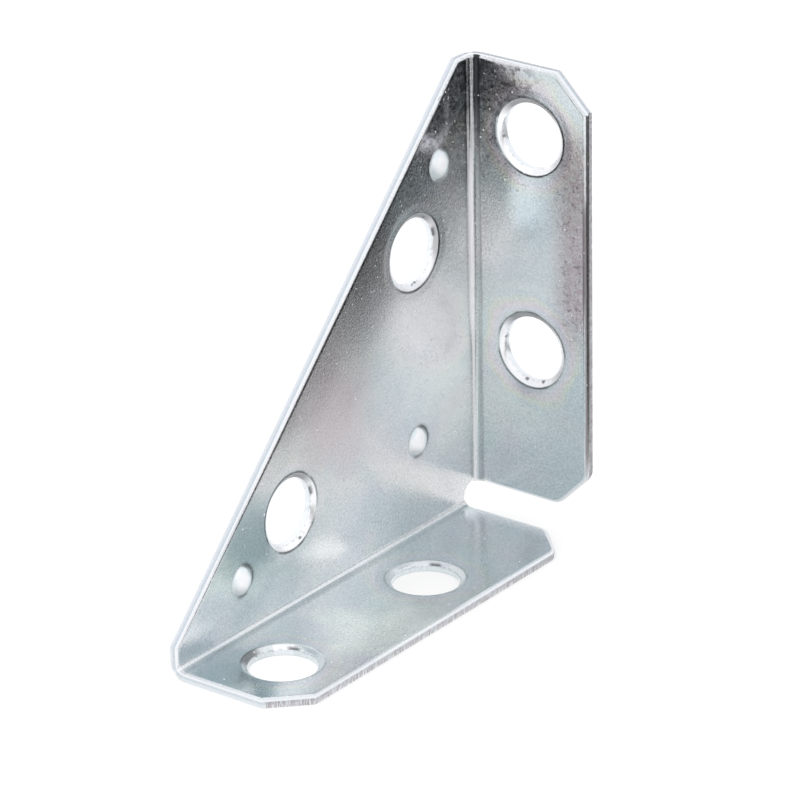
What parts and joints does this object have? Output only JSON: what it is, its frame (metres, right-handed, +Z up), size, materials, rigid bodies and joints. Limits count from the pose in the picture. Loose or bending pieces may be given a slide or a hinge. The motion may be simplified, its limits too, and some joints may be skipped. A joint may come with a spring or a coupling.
{
  "type": "angle bracket",
  "caption": "Folded sheet-steel angle bracket: a triangular gusset with bolt holes carries a drilled flange along each leg, parted by a corner relief.",
  "frame": {"origin": "halfway between the two bolt holes of the lower flange, on that flange's outer face, which is what the bracket stands on", "axes": "+X along the lower flange to its tip, +Y from the gusset towards the flanges' free edges, +Z up the upright flange"},
  "size_m": [0.08, 0.024, 0.08],
  "materials": {
    "zinc_plated_steel": "zinc plated, bluish passivated, satin"
  },
  "bodies": {
    "root": {"bracket": "zinc_plated_steel"}
  },
  "joints": []
}
